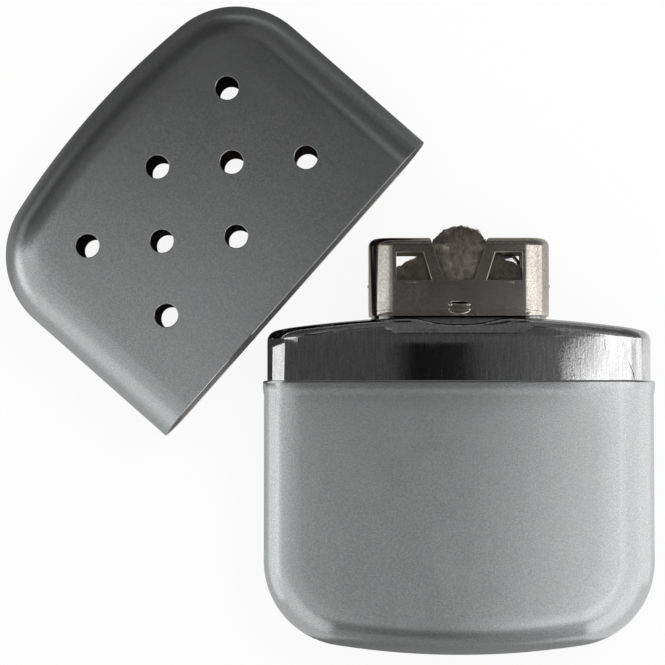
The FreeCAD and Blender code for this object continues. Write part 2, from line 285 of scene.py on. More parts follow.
print("the ceiling hangs", ceiling, "mm above the floor")

# %% Small cards close to the mirror parts
shoulder_card = 40      # mm above the floor: near, so that their edges stay crisp in the polish
burner_card = 60        # mm above the floor
beside_left = -35.5     # mm, the place of the cards that stand just beside the shoulder

card("card_shoulder", flat_at(shoulder_card, (-35.6, 22.6), (21.6, 22.6), (26.2, 31), (-35.6, 31)),
     across=((-38, 0.055), (-14, 0.05), (-7, 0.006), (0, 0.01), (8, 0.06), (22, 0.11)))
card("card_shoulder_top", flat_at(shoulder_card, (-35.6, 31), (26.2, 31), (27.5, 36), (-27.5, 36)),
     across=((-38, 0.02), (-28, 0.055), (0, 0.055), (26, 0.1)))
card("card_burner", lying(-17, 20.5, 37.2, 53.5, burner_card),
     across=((-17, 0.05), (0, 0.045), (20, 0.075)))
for name, corners, shine in (
        ("card_shoulder_right",
         flat_at(shoulder_card, (21.6, 22.6), (60, 22.6), (60, 36), (27.5, 36)), 1.1),
        ("card_beside_shoulder_high",
         standing((beside_left, 23.4), (beside_left, 31), 15.6, shoulder_card), 0.055),
        ("card_beside_shoulder",
         ((beside_left, 23.4, 9.1), (beside_left, 29.5, 9.1),
          (beside_left, 30.3, 15.6), (beside_left, 23.4, 15.6)), 0.85),
        ("card_beside_shoulder_end", standing((-35.6, 23.4), (-35.6, 31.5), 0, 15.6), 0.04),
        ("card_beside_case_low", standing((-40, -20), (-40, 22.8), 0, 7), 0.5),
        ("card_beside_case", standing((-40, -20), (-40, 22.8), 7, 13), 0.85),
        ("card_beside_case_right", standing((40, -14), (40, 24), 6, 15), 0.95)):
    card(name, corners, across=((0, shine),))

# %% [markdown]
# ## Soft light
#
# One large soft lamp gives the shadows a direction. It lights the pale floor, the wool and the felt.
# The metal gets nothing from it, because a lamp's own reflection in the chrome would be one more card.

# %% Lamp
lamp_place = Vector((0.35, 0.30, 0.55))     # metres
lamp_aim = Vector((0.0, 0.03, 0))           # metres, near the middle of the object

lamp_data = bpy.data.lights.new("softbox", "AREA")
lamp_data.shape = "RECTANGLE"
lamp_data.size = 0.5
lamp_data.size_y = 0.4
lamp_data.energy = 1.6
lamp = add_object("softbox", lamp_data)
lamp.location = lamp_place
lamp.rotation_euler = (lamp_aim - lamp.location).to_track_quat("-Z", "Y").to_euler()
lamp.visible_glossy = False
lamp.visible_camera = False
print("lamp", round((lamp_aim - lamp_place).length, 2), "m away")

# %% [markdown]
# ## Satin chrome
#
# The case and the lid are steel, blasted with fine glass beads and then plated with chrome. The beads
# leave dimples far smaller than a millimetre, which spread each highlight without hiding it. Up close
# there is a faint even grain and, over a few centimetres, a soft cloudiness where fingers have been.

# %% Satin chrome
satin_grain = 0.24      # mm, coarser than the real dimples so that it shows
satin_cloud = 7.0       # mm

satin_chrome, tree = new_material("satin_chrome")
place = add_node(tree, "TexCoord").outputs["Object"]
grain = add_node(tree, "TexNoise", values=features(satin_grain, 3.0, 0.6), links={"Vector": place})
cloud = add_node(tree, "TexNoise", values=features(satin_cloud), links={"Vector": place})
crests = add_node(tree, "MapRange", values=stretch(0, 1, 0.35, 0.65), links={"Value": grain})
tint = add_node(tree, "Mix", {"data_type": "RGBA"},
                {"A": linear("#ced0d3"), "B": linear("#e8e9e8")}, {"Factor": crests})
handled = add_node(tree, "MapRange", values=stretch(0.245, 0.265), links={"Value": cloud})
dimples = add_node(tree, "Bump", values={"Strength": 0.085, "Distance": 0.02 * mm},
                   links={"Height": grain})
metal = add_node(tree, "BsdfPrincipled",
                 values={"Base Color": linear("#dcdddc"), "Metallic": 1.0, "Roughness": 0.28},
                 links={"Base Color": tint, "Roughness": handled, "Normal": dimples})
add_node(tree, "OutputMaterial", links={"Surface": metal})
print("satin chrome:", len(tree.nodes), "nodes")

# %% [markdown]
# ## Sooty steel, with painted shade inside and painted light along the mouth
#
# Plating hardly reaches into a deep cup, and the warm fumes have dulled the inside of the lid. It is the
# same steel, rough and painted dark brown-grey, partly for the fumes and partly as painted shade, so
# that the vents look into shade. Along the mouth it is painted light: a pale band that fades inward.

# %% Sooty steel: painted shade inside, painted light along the mouth
soot_spots = 1.2                                # mm
painted_light_reach = 4.0                              # mm in from the mouth, over which the painted light fades into the dark
lid_turn = math.radians(48.6)                   # how far the lid lies turned from its place on the case
lid_mouth = Vector((-28.4, 39.65, 0)) * mm      # the middle of its mouth

fume_stained_steel_with_painted_light, tree = new_material("fume_stained_steel_with_painted_light")
place = add_node(tree, "TexCoord").outputs["Object"]
smudges = add_node(tree, "TexNoise", values=features(soot_spots, 4.0, 0.6), links={"Vector": place})
faded = add_node(tree, "MapRange", values=stretch(0, 1), links={"Value": smudges})
# The two dark tones are partly fume stains and partly painted shade inside the cup.
fume_stain_and_painted_shade = add_node(tree, "Mix", {"data_type": "RGBA"},
                {"A": linear("#474440"), "B": linear("#6e6a66")}, {"Factor": faded})
in_lid = add_node(tree, "Mapping", {"vector_type": "TEXTURE"},
                  {"Location": lid_mouth, "Rotation": (0, 0, lid_turn)}, {"Vector": place})
depth_in_lid = add_node(tree, "SeparateXYZ", links={0: in_lid}).outputs["Y"]
painted_light_falloff = add_node(tree, "MapRange", values=stretch(0.0, 1.0, 1.0 * mm, painted_light_reach * mm),
                      links={"Value": depth_in_lid})
# Painted light: the inside is pale at the mouth and darkens inward to the painted shade over the reach.
tint = add_node(tree, "Mix", {"data_type": "RGBA"}, {"A": linear("#e2e1df")},
                {"Factor": painted_light_falloff, "B": fume_stain_and_painted_shade})
dull = add_node(tree, "MapRange", values=stretch(0.4, 0.55), links={"Value": smudges})
metal = add_node(tree, "BsdfPrincipled",
                 values={"Base Color": linear("#5c5955"), "Metallic": 1.0, "Roughness": 0.45},
                 links={"Base Color": tint, "Roughness": dull})
add_node(tree, "OutputMaterial", links={"Surface": metal})
print("sooty steel: light for the first", painted_light_reach, "mm")

# %% [markdown]
# ## Polished chrome
#
# The shoulder was drawn through a die, polished and plated bright. The die left hair-fine lines that
# run up the wall, and years of the lid going on and off have worn patches and a few scratches into the
# polish. It mirrors the studio almost sharply, and the lines break that mirror into upright streaks.

# %% Helpers for marks at one place
def near_point(tree, place, point, reach):
    """1 near a point given in mm, up to a fifth of the reach from it, falling to 0 at the reach."""
    away = add_node(tree, "VectorMath", {"operation": "DISTANCE"}, {1: Vector(point) * mm}, {0: place})
    return add_node(tree, "MapRange", values=stretch(1.0, 0.0, 0.2 * reach * mm, reach * mm),
                    links={"Value": away})


def scratch(tree, place, start, end, width):
    """1 on a thin line across the front face between two points in mm, fading to 0 at its edges."""
    start, end = Vector(start) * mm, Vector(end) * mm
    turn = math.atan2(end.y - start.y, end.x - start.x)
    middle = (start + end) / 2
    local = add_node(tree, "Mapping", {"vector_type": "TEXTURE"},
                     {"Location": (middle.x, middle.y, 0), "Rotation": (0, 0, turn)}, {"Vector": place})
    axes = add_node(tree, "SeparateXYZ", links={0: local})
    on_line = []
    for axis, half in (("X", (end - start).length / 2), ("Y", width / 2 * mm)):
        far = add_node(tree, "Math", {"operation": "ABSOLUTE"}, links={0: axes.outputs[axis]})
        on_line.append(add_node(tree, "MapRange", values=stretch(1.0, 0.0, half * 0.5, half),
                                links={"Value": far}))
    return add_node(tree, "Math", {"operation": "MULTIPLY"}, links={0: on_line[0], 1: on_line[1]})


# %% Polished chrome: lines and wear
draw_line = 0.22                        # mm between draw lines
wear_spot = 0.4                         # mm
wear_patch = 6.0                        # mm
worn_place = (21.0, 27.5, 13.0)         # mm, where the lid's edge has rubbed most
worn_reach = 6.5                        # mm

polished_chrome, tree = new_material("polished_chrome")
place = add_node(tree, "TexCoord").outputs["Object"]
upwards = add_node(tree, "Mapping", values={"Scale": (1.0, 0.05, 1.0)}, links={"Vector": place})
lines = add_node(tree, "TexNoise", values=features(draw_line, 3.0, 0.7), links={"Vector": upwards})
spots = add_node(tree, "TexNoise", values=features(wear_spot, 4.0, 0.75), links={"Vector": place})
patches = add_node(tree, "TexNoise", values=features(wear_patch), links={"Vector": place})
patchy = add_node(tree, "MapRange", values=stretch(0.0, 0.3, 0.45, 0.7), links={"Value": patches})
rubbed = add_node(tree, "Math", {"operation": "MAXIMUM"},
                  links={0: near_point(tree, place, worn_place, worn_reach), 1: patchy})
spotty = add_node(tree, "MapRange", values=stretch(0.0, 1.0, 0.4, 0.7), links={"Value": spots})
worn = add_node(tree, "Math", {"operation": "MULTIPLY"}, links={0: spotty, 1: rubbed})
line_bump = add_node(tree, "Bump", values={"Strength": 0.03, "Distance": 0.02 * mm},
                     links={"Height": lines})
wear_bump = add_node(tree, "Bump", values={"Strength": 0.5, "Distance": 0.03 * mm},
                     links={"Height": worn, "Normal": line_bump})
rubbing = add_node(tree, "Math", {"operation": "ADD"}, links={0: lines, 1: spots})
streaks = add_node(tree, "MapRange", values=stretch(0, 1, 0.85, 1.15), links={"Value": rubbing})
streaked = add_node(tree, "Mix", {"data_type": "RGBA"},
                    {"A": linear("#dededf"), "B": linear("#ffffff")}, {"Factor": streaks})
print("polished chrome: draw lines", draw_line, "mm apart")

# %% Polished chrome: scratches, painted shade under the burner and the metal itself
scratches = (((30.25, 23.75), (29.35, 26.55), 0.16), ((29.45, 25.75), (29.05, 27.15), 0.10),
             ((28.05, 29.35), (28.15, 30.45), 0.09), ((25.05, 28.75), (24.95, 31.15), 0.08),
             ((32.05, 23.85), (31.75, 24.75), 0.12))    # mm: from, to and width
scratch_wander, scratch_stray = 0.8, 0.3        # mm: over how far a scratch bends, and by how much
painted_shade_start, painted_shade_full = 34.1, 34.55      # mm up the crown: where the painted shade under the burner starts and where all is dark
painted_shade_fade, painted_shade_end = 11, 17            # mm from the middle: where it starts to fade, where it ends

wander = add_node(tree, "TexNoise", values=features(scratch_wander), links={"Vector": place})
wobble = add_node(tree, "VectorMath", {"operation": "MULTIPLY_ADD"},
                  {1: (scratch_stray * mm, scratch_stray * mm, 0)},
                  {0: wander.outputs["Color"], 2: place})
marks = None
for start, end, width in scratches:
    one = scratch(tree, wobble, start, end, width)
    marks = one if marks is None else add_node(tree, "Math", {"operation": "MAXIMUM"},
                                               links={0: marks, 1: one})
# Painted shade: the crown is painted near black just under the burner's foot, where the gap lies in
# shadow.
axes = add_node(tree, "SeparateXYZ", links={0: place})
sideways = add_node(tree, "Math", {"operation": "ABSOLUTE"}, links={0: axes.outputs["X"]})
high_up = add_node(tree, "MapRange", values=stretch(0.0, 1.0, painted_shade_start * mm, painted_shade_full * mm),
                   links={"Value": axes.outputs["Y"]})
by_burner = add_node(tree, "MapRange", values=stretch(1.0, 0.0, painted_shade_fade * mm, painted_shade_end * mm),
                     links={"Value": sideways})
painted_shade = add_node(tree, "Math", {"operation": "MULTIPLY"}, links={0: high_up, 1: by_burner})
dark = add_node(tree, "Math", {"operation": "MAXIMUM"}, links={0: marks, 1: painted_shade})
tint = add_node(tree, "Mix", {"data_type": "RGBA"}, {"B": linear("#1d1c1c")},
                {"Factor": dark, "A": streaked})
hazy = add_node(tree, "MapRange", values=stretch(0.03, 0.10), links={"Value": lines})
metal = add_node(tree, "BsdfPrincipled",
                 values={"Base Color": linear("#ededee"), "Metallic": 1.0, "Roughness": 0.06},
                 links={"Base Color": tint, "Roughness": hazy, "Normal": wear_bump})
add_node(tree, "OutputMaterial", links={"Surface": metal})
print("polished chrome:", len(scratches), "scratches,", len(tree.nodes), "nodes")

# %% [markdown]
# ## Nickel
#
# The burner is pressed from thin sheet and plated with dull nickel, which is warmer than chrome. Heat
# and handling have left it finely speckled, and it glitters where it turns towards a light.

# %% Nickel
nickel_speckle = 0.28   # mm
nickel_tarnish = 3.0    # mm

nickel, tree = new_material("dull_nickel")
place = add_node(tree, "TexCoord").outputs["Object"]
speckle = add_node(tree, "TexNoise", values=features(nickel_speckle, 4.0, 0.75),
                   links={"Vector": place})
tarnish = add_node(tree, "TexNoise", values=features(nickel_tarnish, 3.0), links={"Vector": place})
pale = add_node(tree, "MapRange", values=stretch(0, 1, 0.35, 0.65), links={"Value": speckle})
tint = add_node(tree, "Mix", {"data_type": "RGBA"},
                {"A": linear("#d1c9be"), "B": linear("#fffaf1")}, {"Factor": pale})
dull = add_node(tree, "MapRange", values=stretch(0.15, 0.2), links={"Value": tarnish})
pits = add_node(tree, "Bump", values={"Strength": 0.18, "Distance": 0.03 * mm},
                links={"Height": speckle})
metal = add_node(tree, "BsdfPrincipled",
                 values={"Base Color": linear("#e6dfd3"), "Metallic": 1.0, "Roughness": 0.17},
                 links={"Base Color": tint, "Roughness": dull, "Normal": pits})
add_node(tree, "OutputMaterial", links={"Surface": metal})
print("dull nickel:", len(tree.nodes), "nodes")

# %% [markdown]
# ## Cotton and felt
#
# These sit inside and show only when the burner is off or the case is opened. Cotton wadding is a loose
# cloud of white fibres, and wool felt is the same idea pressed hard, so both have a weak sheen at the
# edges and a bump of tangled threads. The tangle is one noise drawn out in two directions.

# %% Cotton and felt
def fibrous(name, dark, pale, thread, strength):
    """A tangle of threads of one size in mm, which sets both the colour and the bump."""
    finish, tree = new_material(name)
    place = add_node(tree, "TexCoord").outputs["Object"]
    tangle = []
    for stretched, turn in (((1.0, 0.25, 1.0), 0), ((0.25, 1.0, 1.0), 0.6)):
        laid = add_node(tree, "Mapping", values={"Scale": stretched, "Rotation": (0, 0, turn)},
                        links={"Vector": place})
        tangle.append(add_node(tree, "TexNoise", values=features(thread, 4.0, 0.65),
                               links={"Vector": laid}))
    threads = add_node(tree, "Math", {"operation": "MAXIMUM"}, links={0: tangle[0], 1: tangle[1]})
    lit = add_node(tree, "MapRange", values=stretch(0, 1, 0.4, 0.7), links={"Value": threads})
    tint = add_node(tree, "Mix", {"data_type": "RGBA"},
                    {"A": linear(dark), "B": linear(pale)}, {"Factor": lit})
    fuzz = add_node(tree, "Bump", values={"Strength": strength, "Distance": 0.15 * mm},
                    links={"Height": threads})
    cloth = add_node(tree, "BsdfPrincipled", values={"Roughness": 0.9, "Sheen Weight": 0.3},
                     links={"Base Color": tint, "Normal": fuzz})
    add_node(tree, "OutputMaterial", links={"Surface": cloth})
    return finish


cotton = fibrous("cotton_wadding", "#cfc9ba", "#f1ede2", 0.5, 0.6)
felt = fibrous("wool_felt", "#b3a993", "#ddd5c2", 0.3, 0.5)
print("soft finishes:", cotton.name, "and", felt.name)

# %% [markdown]
# ## Glass wool with its catalyst
#
# Glass wool is a tuft of fine fibres combed one way. Platinum salts and use have turned it grey and
# brown. A noise drawn out along the fibres and bent by a slower one gives strands that swirl, a coarse
# noise gives clumps, and the heart of the tuft is paler, because light gets in there.

# %% Glass wool
strand_width, clump_size, swirl_size = 0.16, 1.4, 3.0       # mm
swirl_swing = (2.0, 1.0, 1.0)                               # mm that a strand swings in x, y and z
wool_heart, heart_reach = (0.5, 44.3, 12.0), 6.0            # mm


def wool_finish(name, dark, pale):
    """Glass wool combed one way, with clumps, and paler at its heart."""
    finish, tree = new_material(name)
    place = add_node(tree, "TexCoord").outputs["Object"]
    swirl = add_node(tree, "TexNoise", values=features(swirl_size), links={"Vector": place})
    bent = add_node(tree, "VectorMath", {"operation": "MULTIPLY_ADD"},
                    {1: Vector(swirl_swing) * mm}, {0: swirl.outputs["Color"], 2: place})
    combed = add_node(tree, "Mapping", values={"Scale": (1.0, 0.14, 1.0)}, links={"Vector": bent})
    strands = add_node(tree, "TexNoise", values=features(strand_width, 3.0, 0.6),
                       links={"Vector": combed})
    clumps = add_node(tree, "TexNoise", values=features(clump_size), links={"Vector": place})
    lit = None
    for pattern, levels in ((strands, stretch(0.25, 1.0)), (clumps, stretch(0.4, 1.0, 0.35, 0.65)),
                            (near_point(tree, place, wool_heart, heart_reach), stretch(0.3, 1.0, 0, 1))):
        layer = add_node(tree, "MapRange", values=levels, links={"Value": pattern})
        lit = layer if lit is None else add_node(tree, "Math", {"operation": "MULTIPLY"},
                                                 links={0: lit, 1: layer})
    tint = add_node(tree, "Mix", {"data_type": "RGBA"},
                    {"A": linear(dark), "B": linear(pale)}, {"Factor": lit})
    fuzz = add_node(tree, "Bump", values={"Strength": 0.6, "Distance": 0.08 * mm},
                    links={"Height": strands})
    glass = add_node(tree, "BsdfPrincipled", values={"Roughness": 0.75, "Sheen Weight": 0.1},
                     links={"Base Color": tint, "Normal": fuzz})
    add_node(tree, "OutputMaterial", links={"Surface": glass})
    return finish


# The core's copy has a darker dark end than the fibres' copy: painted shade, for the wool that lies
# under the fibres.
glass_wool = wool_finish("platinised_glass_wool", "#1e1a17", "#b4aaa0")
glass_fibre = wool_finish("single_glass_fibres", "#383129", "#b3a99e")
print("wool finishes:", glass_wool.name, "and", glass_fibre.name)

# %% [markdown]
# ## Soft solder
#
# Tin and lead, run into the seam between the shoulder and the case. It is a matt grey that froze in
# low ripples, so one noise of about a millimetre sets its colour and its bump.

# %% Soft solder
solder_ripple = 1.2     # mm

solder, tree = new_material("soft_solder")
place = add_node(tree, "TexCoord").outputs["Object"]
ripples = add_node(tree, "TexNoise", values=features(solder_ripple), links={"Vector": place})
tint = add_node(tree, "Mix", {"data_type": "RGBA"},
                {"A": linear("#8f8e8b"), "B": linear("#b5b4b0")}, {"Factor": ripples})
frozen = add_node(tree, "Bump", values={"Strength": 0.6, "Distance": 0.1 * mm},
                  links={"Height": ripples})
metal = add_node(tree, "BsdfPrincipled",
                 values={"Base Color": linear("#a3a29f"), "Metallic": 1.0, "Roughness": 0.5},
                 links={"Base Color": tint, "Normal": frozen})
add_node(tree, "OutputMaterial", links={"Surface": metal})

finishes = {
    "satin_chrome": satin_chrome, "polished_chrome": polished_chrome, "nickel": nickel,
    "solder": solder, "glass_wool": glass_wool, "cotton": cotton, "felt": felt,
}
print("finishes by slot:", sorted(finishes))

# %% [markdown]
# ## Working from the measured solids
#
# The measured solids are already the right size, but their edges are perfectly sharp, and nothing
# pressed from sheet is. So each visible shell starts from a copy of its solid. The copy's loose
# triangles are merged, flat areas become single faces, and the sharp edges are broken with a small
# bevel. That thin round catches the light and tells the eye how thick the sheet is.

# %% Helpers that work on a shape
low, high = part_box("case_shell")
rim, mid = high.y, (low.z + high.z) / 2


def merged_copy(node):
    """A bmesh of a measured solid with its triangles merged and its flat areas made whole."""
    shape = bmesh.new()
    shape.from_mesh(frame["nodes"][node].data)
    bmesh.ops.remove_doubles(shape, verts=shape.verts, dist=0.001 * mm)
    bmesh.ops.dissolve_limit(shape, angle_limit=math.radians(0.2), verts=shape.verts, edges=shape.edges)
    return shape


def cut(shape, point, normal):
    """Cut a bmesh along a plane, keeping both sides."""
    everything = shape.verts[:] + shape.edges[:] + shape.faces[:]
    bmesh.ops.bisect_plane(shape, geom=everything, dist=0.0005 * mm, plane_co=point, plane_no=normal)


def break_edges(shape, width, segments=2, sharper_than=40):
    """Round the edges sharper than an angle by a small bevel, and mark the round's own points."""
    on_round = shape.verts.layers.int.get("on_round") or shape.verts.layers.int.new("on_round")
    sharp = [edge for edge in shape.edges
             if len(edge.link_faces) == 2 and edge.calc_face_angle() > math.radians(sharper_than)]
    made = bmesh.ops.bevel(shape, geom=sharp, offset=width * mm, offset_type="OFFSET", profile=0.5,
                           segments=segments, affect="EDGES", clamp_overlap=False, material=-1)
    round_faces = set(made["faces"])
    for vert in made["verts"]:
        if vert.is_valid and all(face in round_faces for face in vert.link_faces):
            vert[on_round] = 1
    return len(sharp)


def mark_flat_borders(shape, flat=0.9999, nearly_flat=0.9):
    """Mark the points where a flat face runs into its rounded edge, so that light turns there gently."""
    shape.normal_update()
    on_round = shape.verts.layers.int.get("on_round") or shape.verts.layers.int.new("on_round")
    for vert in shape.verts:
        tilts = [abs(face.normal.z) for face in vert.link_faces]
        vert[on_round] = int(max(tilts) > flat and nearly_flat < min(tilts) < flat)


def smooth_fall(distance, start, end):
    """1 up to start, 0 from end on, and a smooth step between."""
    share = min(max((distance - start) / (end - start), 0), 1)
    return 1 - share * share * (3 - 2 * share)


print("rim at y", round(rim / mm, 2), "mm, middle plane at z", round(mid / mm, 2), "mm")

# %% Helpers that make and shade a piece
behaviour = frame["record"]["behaviour"]
body_of_node = {node: body for body, nodes in behaviour["bodies"].items() for node in nodes}
slot_of_node = {part["node"]: part["material_slot"] for part in frame["record"]["subparts"]}


def new_piece(name, shape, node):
    """Turn a bmesh into a piece that stands for a measured solid, with its body and finish."""
    piece = add_object(name, as_mesh(shape, name, finishes[slot_of_node[node]]))
    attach(piece, body_of_node[node])
    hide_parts(node)
    return piece


def as_it_looks(made):
    """A mesh of an object with its modifiers applied."""
    bpy.context.view_layer.update()
    return bpy.data.meshes.new_from_object(made.evaluated_get(bpy.context.evaluated_depsgraph_get()))


def settle(piece):
    """Apply a piece's modifiers, so that its mesh can be worked on again."""
    settled = as_it_looks(piece)
    piece.modifiers.clear()
    old, piece.data = piece.data, settled
    bpy.data.meshes.remove(old)
    settled.name = piece.name


def shade(piece, crease):
    """Shade smoothly, with flat faces kept flat and anything sharper than the crease kept sharp."""
    piece.data.shade_smooth()
    piece.data.set_sharp_from_angle(angle=math.radians(crease))
    weighted = piece.modifiers.new("flat_faces_stay_flat", "WEIGHTED_NORMAL")
    weighted.keep_sharp = True
    weighted.weight = 90


def shade_as_measured(piece, node):
    """Shade smoothly, as the measured solid's surface points everywhere but on the broken edges."""
    piece.data.shade_smooth()
    marked = piece.data.attributes["on_round"].data
    exact = piece.vertex_groups.new(name="exact")
    exact.add([index for index, item in enumerate(marked) if item.value == 0], 1.0, "REPLACE")
    carry = piece.modifiers.new("exact_directions", "DATA_TRANSFER")
    carry.object = frame["nodes"][node]
    carry.use_loop_data = True
    carry.data_types_loops = {"CUSTOM_NORMAL"}
    carry.loop_mapping = "POLYINTERP_NEAREST"
    carry.vertex_group = "exact"
    settle(piece)


print("slots", slot_of_node)

# %% [markdown]
# ## The case
#
# A drawn cup of half-millimetre steel. Its mouth was left a touch wider than its body, so there is a
# narrow collar at the rim where the wall steps in. Planes cut rings into the wall there, and the outer
# skin is drawn in below them. The step is only a fifth of a millimetre, but the light shows it.

# %% Case
lip_height, lip_end = 1.3, 2.7      # mm below the rim: the lip's foot, and where the step is done
lip_step, lip_step_front = 0.2, 0.04        # mm that the wall draws in at the sides and in front
side_fade, front_fade = (26, 46), (4, 40)   # mm below the rim over which it comes out again
rings = (0.5, 0.9, lip_height, 1.5, 1.75, 2.0, 2.25, 2.5, lip_end, 3.0, 3.6, 4.5, 6, 8, 11, 14, 18,
         22, 26, 30)                # mm below the rim
ring_shading = 3.2                  # mm below the rim, down to which the step shades by its own shape
edge_blend = 4.0                    # mm of the flat face over which the light turns into the edge
flat_area = (20 * mm) ** 2          # any face larger than this is the flat front or back
case_round = 0.13                   # mm

shape = merged_copy("case_shell")
half_width, half_thickness = high.x, (high.z - low.z) / 2
outer_flats = [face for face in shape.faces if face.calc_area() > flat_area
               and abs(face.calc_center_median().z - mid) > half_thickness - 0.1 * mm]
bmesh.ops.inset_region(shape, faces=outer_flats, thickness=edge_blend * mm, use_boundary=True,
                       use_even_offset=True)
for below in rings:
    cut(shape, (0, rim - below * mm, 0), (0, 1, 0))
mark_flat_borders(shape)
for vert in shape.verts:
    below = (rim - vert.co.y) / mm
    skin_x, skin_z = vert.co.x / half_width, (vert.co.z - mid) / half_thickness
    step = 1 - smooth_fall(below, lip_height, lip_end)
    # The odd powers keep the sign, and leave all but the outermost skin almost where it is.
    vert.co.x -= skin_x ** 3 * lip_step * step * smooth_fall(below, *side_fade) * mm
    vert.co.z -= skin_z ** 5 * lip_step_front * step * smooth_fall(below, *front_fade) * mm
broken = break_edges(shape, case_round, 3)
on_round = shape.verts.layers.int["on_round"]
for vert in shape.verts:
    if (rim - vert.co.y) / mm < ring_shading:
        vert[on_round] = 1
case = new_piece("case_body", shape, "case_shell")
shade_as_measured(case, "case_shell")
print("case:", broken, "edges broken,", len(case.data.polygons), "faces")

# %% [markdown]
# ## The lid
#
# The same cup in slightly thinner steel, turned over and laid aside. Eight vents go through front and
# back in rows of three, two and three. They are punched, so each has a narrow rolled-in edge that
# shines on the side that faces the light. Breaking the edges rounds all sixteen holes at once.

# %% Lid
flat_across, flat_along = 23.2, 36.2    # mm: half the flat's width, and its height from the mouth
heart_depth = 23                        # mm from the mouth to the middle of the hollow
lid_round = 0.14                        # mm

lid_across = Vector((math.cos(lid_turn), math.sin(lid_turn), 0))
lid_along = Vector((-lid_across.y, lid_across.x, 0))
shape = merged_copy("lid_shell")
for reach in (-flat_across, flat_across):
    cut(shape, lid_mouth + lid_across * reach * mm, lid_across)
cut(shape, lid_mouth + lid_along * flat_along * mm, lid_along)
mark_flat_borders(shape)
broken = break_edges(shape, lid_round, 3)
lid_heart = lid_mouth + lid_along * heart_depth * mm + Vector((0, 0, mid))
inside = [face for face in shape.faces
          if face.normal.dot(face.calc_center_median() - lid_heart) < -1 * mm]
for face in inside:
    face.material_index = 1
lid = new_piece("lid_cover", shape, "lid_shell")
shade_as_measured(lid, "lid_shell")
lid.data.materials.append(fume_stained_steel_with_painted_light)
print("lid:", broken, "edges broken,", len(inside), "faces inside,", len(lid.data.polygons), "in all")

# %% [markdown]
# ## The burner's cage
#
# Bent from thin nickel-plated sheet, with windows and a deep notch cut out. Cut edges show as bright
# lines, because the shears left them rounded and the plating is thick there. A millimetre above the
# foot the sheet was set back on itself, which leaves a fine line all round. The catch is pressed a
# little smaller than in the solid, with a rounded lip, and a small mark stands out under each window.

# %% Cage
hem_height, hem_step = 1.0, 0.05    # mm: the line's height above the foot, and its depth
hem_blend = 0.12                    # mm above and below the line
sheet_half = 5.3 * mm               # from the middle plane to the flat front and back
wall_from = 0.8 * sheet_half        # beyond this lie only the front and back walls and the catch
catch_half, catch_top = 2.8, 2.9    # mm: half its width, and its top above the foot
catch_squeeze, catch_flatten = 0.7, 0.05    # shares of its width and of its height that are kept
cage_round = 0.12                   # mm
catch_end, window_mark = (0.36, 0.28, 0.26), (0.85, 0.1, 0.09)     # mm, half sizes
bulges = ((-1.55, 36.75, catch_end), (1.55, 36.75, catch_end), (0, 35.85, (1.9, 0.8, 0.12)),
          (-8.15, 40.55, window_mark), (8.6, 40.55, window_mark))   # mm: x, y and half sizes

cage_low, cage_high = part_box("burner_cage")
cage_mid = (cage_low.z + cage_high.z) / 2
cage_thick = (cage_high.z - cage_low.z) / 2
shape = merged_copy("burner_cage")
for above in (hem_height - hem_blend, hem_height, hem_height + hem_blend):
    cut(shape, (0, cage_low.y + above * mm, 0), (0, 1, 0))
for vert in shape.verts:
    above = (vert.co.y - cage_low.y) / mm
    if above < hem_height + 0.01:
        share = 1 if above > hem_height - 0.1 else 0.5      # the band below the line is half as deep
        out_x, out_z = abs(vert.co.x) / cage_high.x, abs(vert.co.z - cage_mid) / cage_thick
        vert.co.x -= math.copysign(min(out_x, 1) ** 4 * hem_step * share * mm, vert.co.x)
        vert.co.z -= math.copysign(min(out_z, 1) ** 4 * hem_step * share * mm, vert.co.z - cage_mid)
for vert in shape.verts:
    out = abs(vert.co.z - cage_mid)
    on_catch = abs(vert.co.x) < catch_half * mm and vert.co.y < cage_low.y + catch_top * mm
    if on_catch and out > wall_from:
        vert.co.x *= catch_squeeze
        if out > sheet_half:
            pressed = sheet_half + (out - sheet_half) * catch_flatten
            vert.co.z = cage_mid + math.copysign(pressed, vert.co.z - cage_mid)
broken = break_edges(shape, cage_round, 2)
for side in (1, -1):
    for x, y, size in bulges:
        middle = Matrix.Translation((x * mm, y * mm, cage_mid + side * sheet_half))
        bmesh.ops.create_uvsphere(shape, u_segments=20, v_segments=10, radius=mm,
                                  matrix=middle @ Matrix.Diagonal((*size, 1)))
cage = new_piece("burner_head", shape, "burner_cage")
shade(cage, crease=50)
print("cage:", broken, "edges broken,", len(cage.data.polygons), "faces")

# %% [markdown]
# ## Glass wool
#
# The catalyst sits on a tuft of glass wool that is pushed into the cage from above. Single fibres
# stand out in the windows and let the light through between them. A lumpy core gives it body. Round
# that go some three thousand fibres, each a short curve with a thin tube on it. Real fibres are a
# tenth as thick, but those would vanish in the view.

# %% Wool core
tufts = (((-1.3, 43.6, 7.0), (2.8, 5.2, 5.0)), ((0.4, 44.5, 7.0), (2.6, 6.5, 5.3)),
         ((2.6, 44.4, 7.0), (2.9, 6.0, 5.1)))       # mm: centre and half sizes
finer_lumps = (0.8, 2.1, 4)     # how fast they fade, how much finer each layer is, and how many


